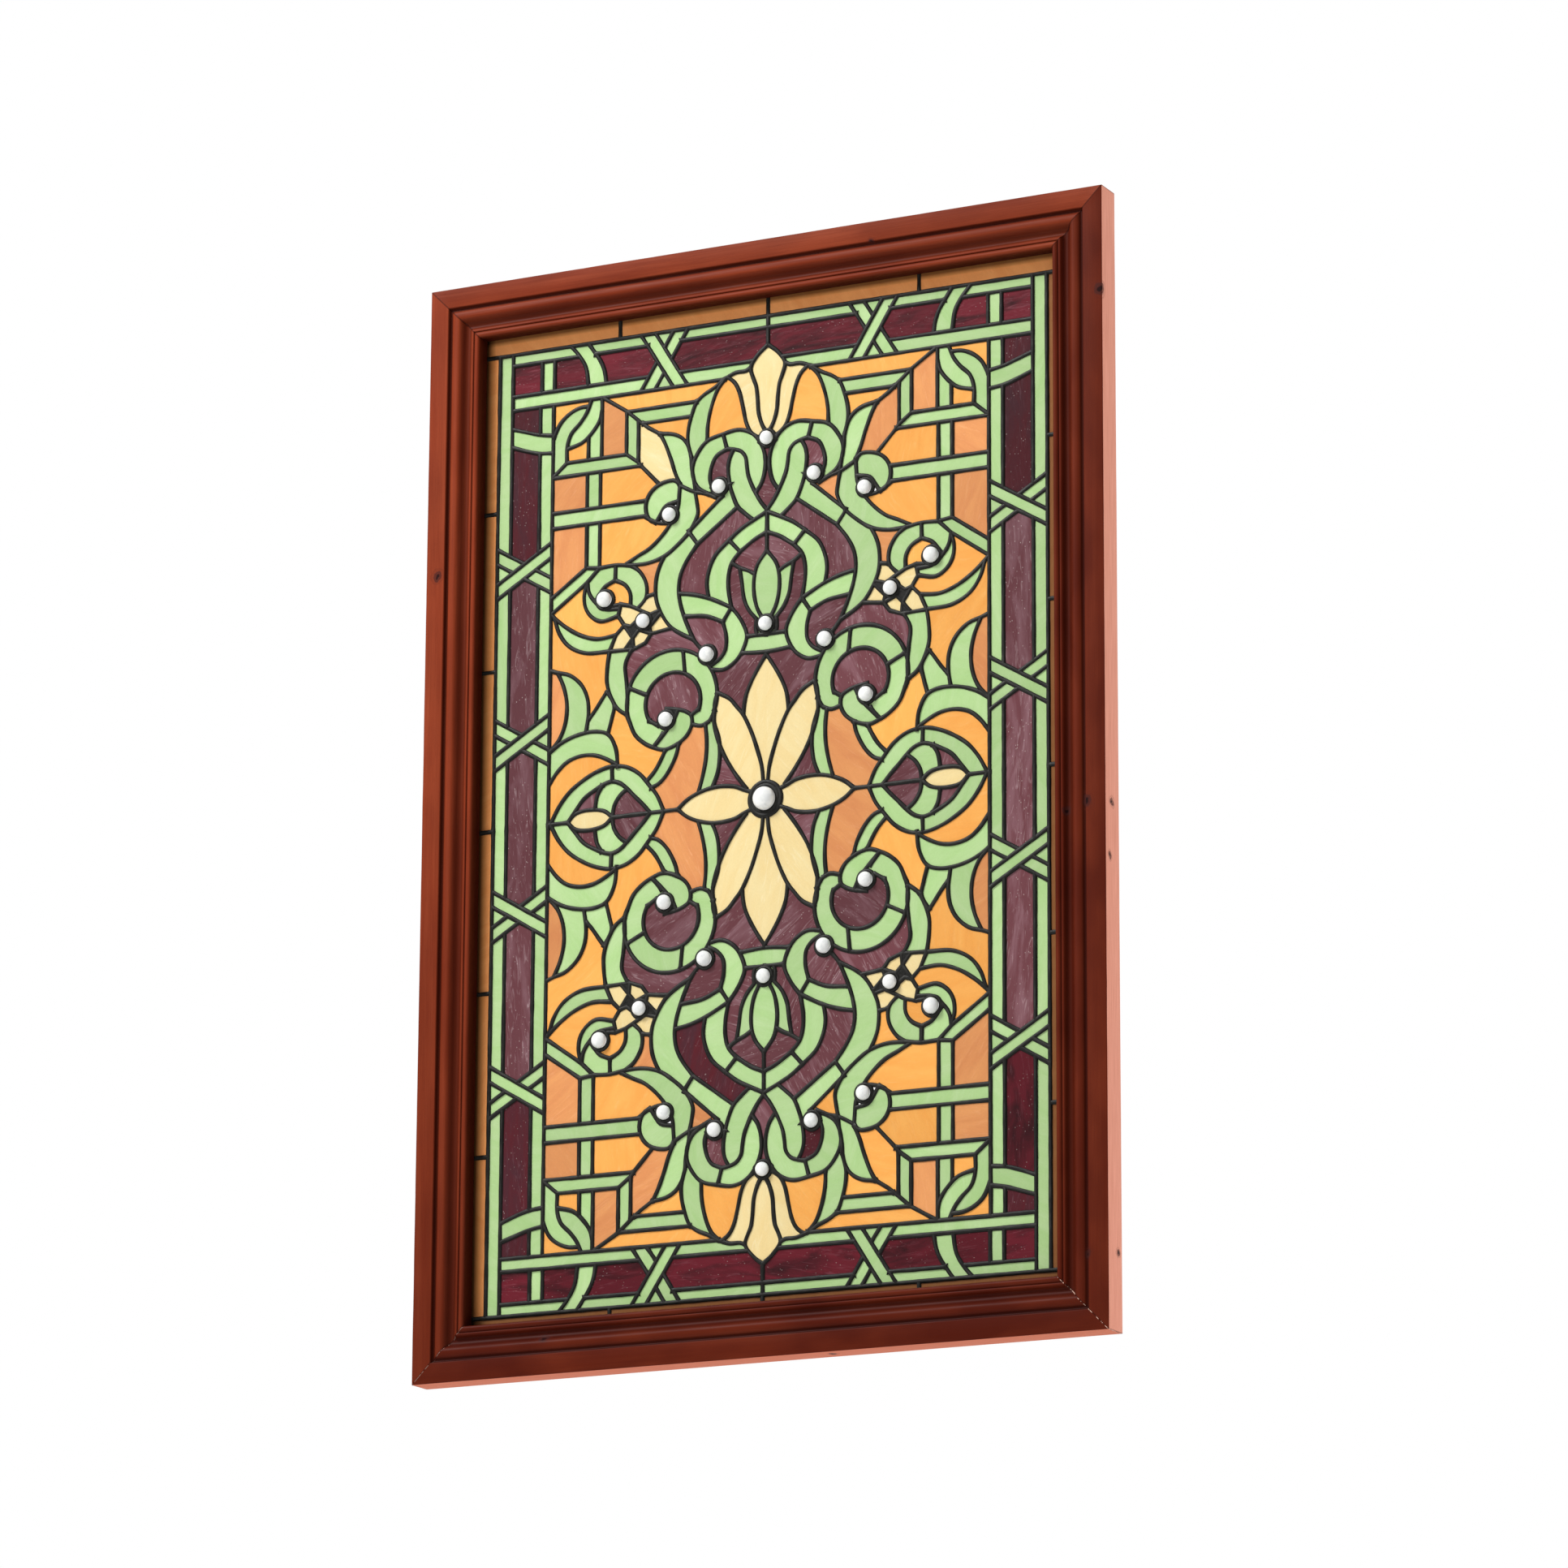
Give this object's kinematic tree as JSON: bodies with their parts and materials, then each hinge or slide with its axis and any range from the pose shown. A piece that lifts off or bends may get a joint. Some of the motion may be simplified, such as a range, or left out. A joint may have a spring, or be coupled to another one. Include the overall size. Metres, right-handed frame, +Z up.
{
  "type": "stained glass window panel",
  "caption": "Hanging leaded glass window panel: opal tulip and knotwork tiles with round jewels in a moulded, mitred wooden frame.",
  "frame": {"origin": "middle of the top rail's flat back face, where the panel hangs", "axes": "+Y out of the back, towards the wall or window it hangs at; +Z up along the frame's height; +X to the right seen from the front"},
  "size_m": [0.61, 0.0275, 0.9151],
  "materials": {
    "frame_wood": "satin",
    "leaded_glass": "gloss",
    "jewel_glass": "gloss"
  },
  "bodies": {
    "root": {"top_rail": "frame_wood", "bottom_rail": "frame_wood", "left_stile": "frame_wood", "right_stile": "frame_wood", "leaded_glass": "leaded_glass", "jewel_upper_right_1": "jewel_glass", "jewel_upper_right_2": "jewel_glass", "jewel_upper_right_3": "jewel_glass", "jewel_upper_right_4": "jewel_glass", "jewel_upper_right_5": "jewel_glass", "jewel_upper_right_6": "jewel_glass", "jewel_upper_left_1": "jewel_glass", "jewel_upper_left_2": "jewel_glass", "jewel_upper_left_3": "jewel_glass", "jewel_upper_left_4": "jewel_glass", "jewel_upper_left_5": "jewel_glass", "jewel_upper_left_6": "jewel_glass", "jewel_lower_right_1": "jewel_glass", "jewel_lower_right_2": "jewel_glass", "jewel_lower_right_3": "jewel_glass", "jewel_lower_right_4": "jewel_glass", "jewel_lower_right_5": "jewel_glass", "jewel_lower_right_6": "jewel_glass", "jewel_lower_left_1": "jewel_glass", "jewel_lower_left_2": "jewel_glass", "jewel_lower_left_3": "jewel_glass", "jewel_lower_left_4": "jewel_glass", "jewel_lower_left_5": "jewel_glass", "jewel_lower_left_6": "jewel_glass", "jewel_upper_middle_1": "jewel_glass", "jewel_upper_middle_2": "jewel_glass", "jewel_lower_middle_1": "jewel_glass", "jewel_lower_middle_2": "jewel_glass", "jewel_centre": "jewel_glass"}
  },
  "joints": []
}
